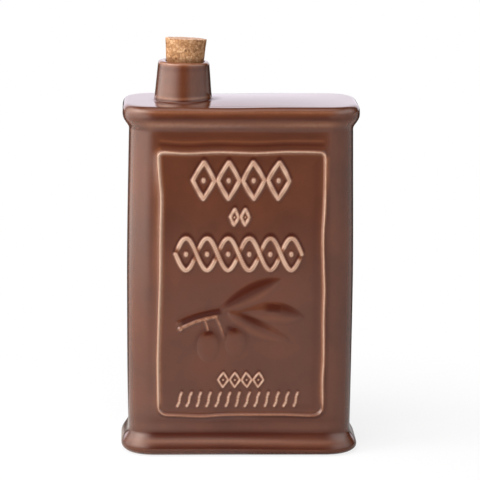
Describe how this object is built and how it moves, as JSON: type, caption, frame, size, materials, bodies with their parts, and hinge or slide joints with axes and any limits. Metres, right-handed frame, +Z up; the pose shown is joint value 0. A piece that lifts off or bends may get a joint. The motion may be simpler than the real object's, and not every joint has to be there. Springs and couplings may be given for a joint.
{
  "type": "ceramic oil bottle",
  "caption": "Flat-sided glazed stoneware bottle for oil, with rolled shoulder and foot, an off-centre neck and a tapered cork stopper that pulls out.",
  "frame": {"origin": "middle of the flat foot rim's plane, on the surface the bottle stands on", "axes": "+X across the front to the right, +Y from the framed front to the back, +Z up"},
  "size_m": [0.126, 0.0598, 0.2191],
  "materials": {
    "glaze": "glossy red-brown glaze that breaks to tan on raised edges, bare clay on the foot rim",
    "cork": "matt pressed cork grain"
  },
  "bodies": {
    "body": {"bottle": "glaze"},
    "stopper": {"cork_stopper": "cork"}
  },
  "joints": [
    {"name": "cork_pull", "type": "slide", "parent": "body", "child": "stopper", "axis": [0.0457, 0.0653, 0.9968], "range_m": [0, 0.06]}
  ]
}
